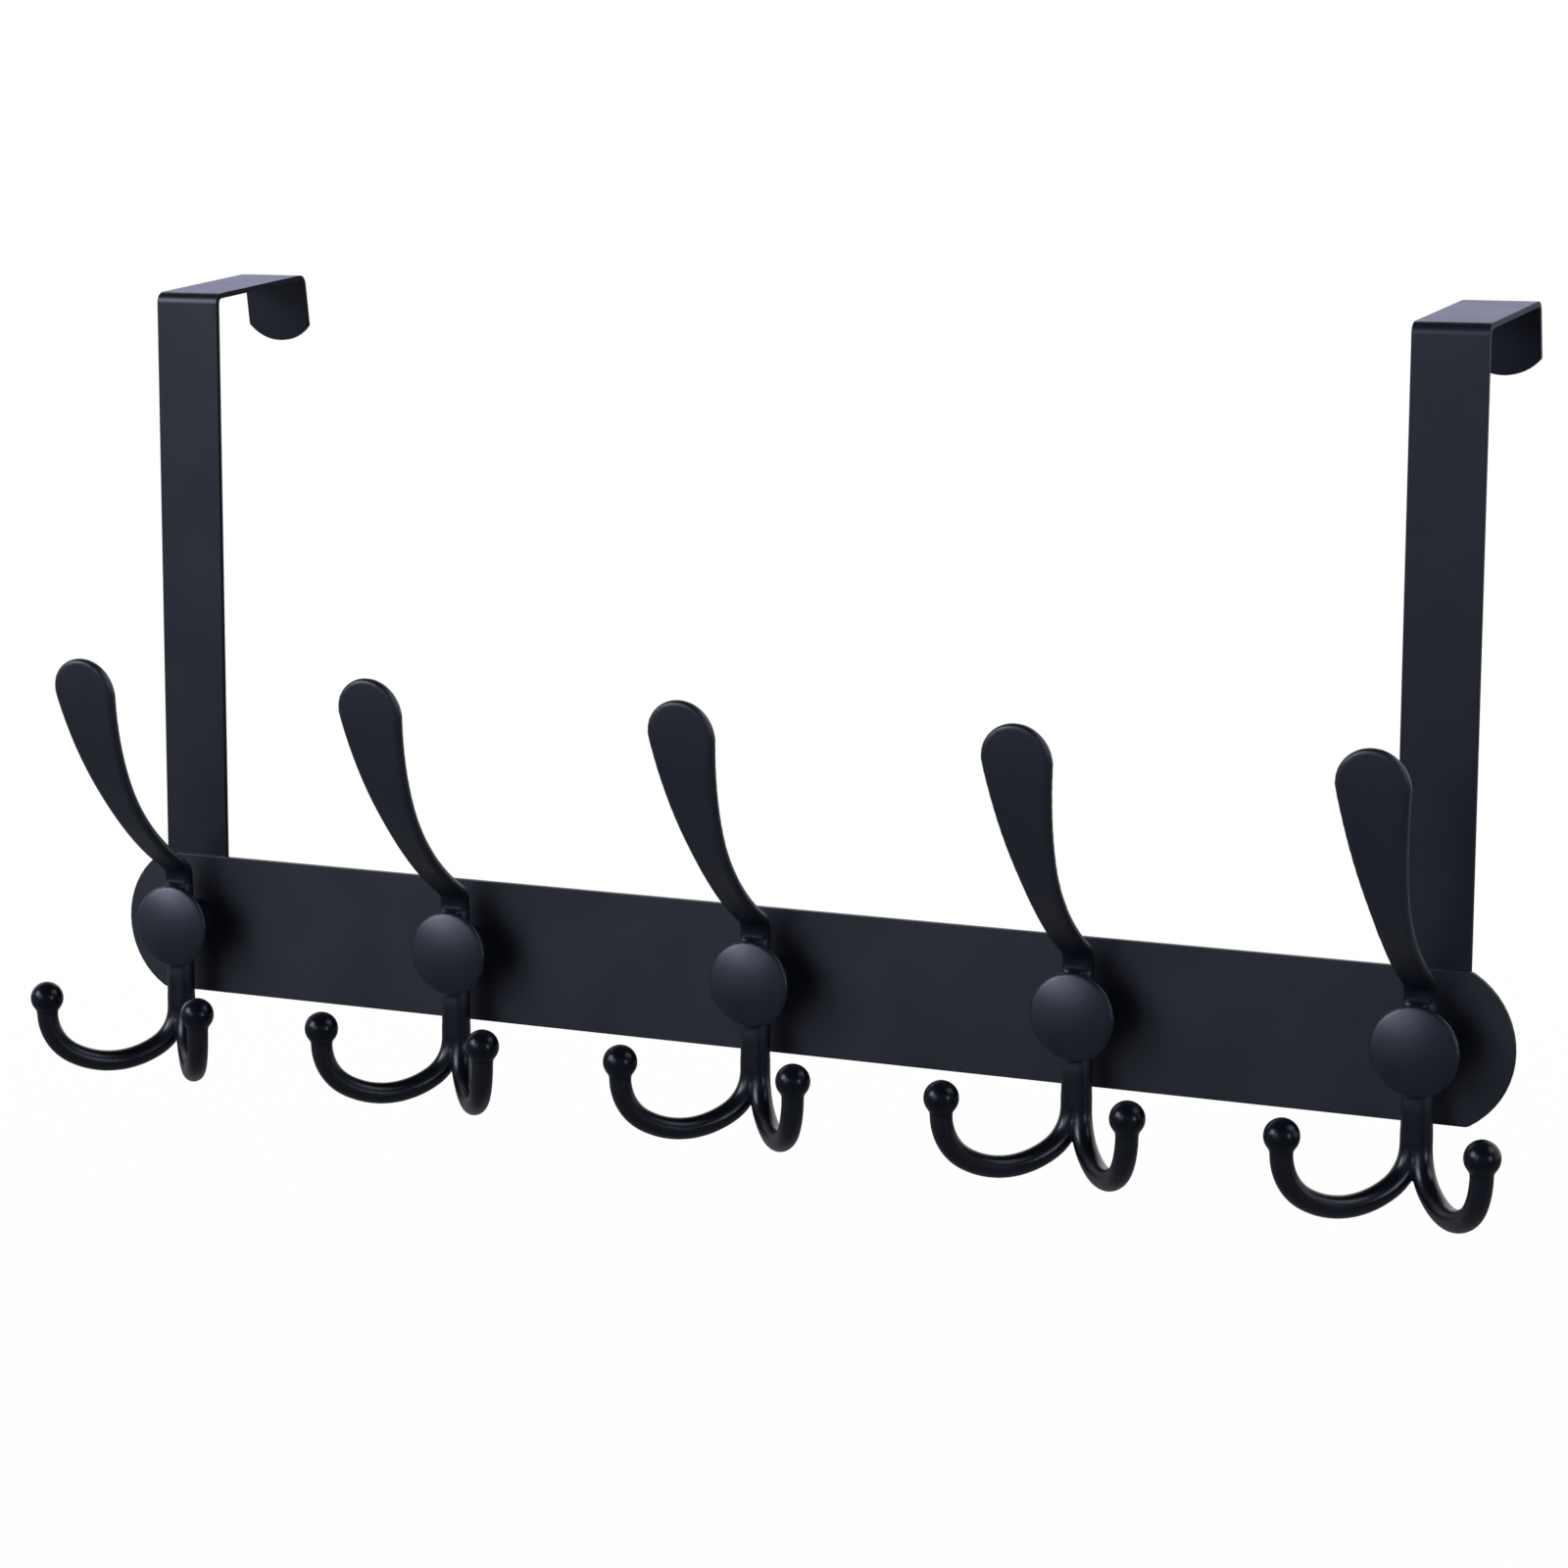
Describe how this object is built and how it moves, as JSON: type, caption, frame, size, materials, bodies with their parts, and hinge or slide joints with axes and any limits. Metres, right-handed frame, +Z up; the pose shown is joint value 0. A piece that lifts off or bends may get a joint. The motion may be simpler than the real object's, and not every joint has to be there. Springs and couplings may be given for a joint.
{
  "type": "over door hook",
  "caption": "Black steel rail that hangs over a door's top edge on two folded straps, with a row of cast paddle and double-prong coat hooks.",
  "frame": {"origin": "the door's top front edge, midway between the two straps", "axes": "+X along the rail to the right as seen from the front, +Y into the door's thickness, +Z up; the hooks point to -Y"},
  "size_m": [0.4316, 0.1077, 0.2271],
  "materials": {
    "rail_coat": "satin black powder coat",
    "bracket_coat": "satin black powder coat",
    "hook_coat": "semi-gloss black coat",
    "screw_steel": "zinc plated"
  },
  "bodies": {
    "root": {"rail": "rail_coat", "door_bracket_left": "bracket_coat", "door_bracket_right": "bracket_coat", "hook_1": "hook_coat", "hook_2": "hook_coat", "hook_3": "hook_coat", "hook_4": "hook_coat", "hook_5": "hook_coat", "centre_screws": "screw_steel", "end_screws": "screw_steel"}
  },
  "joints": []
}
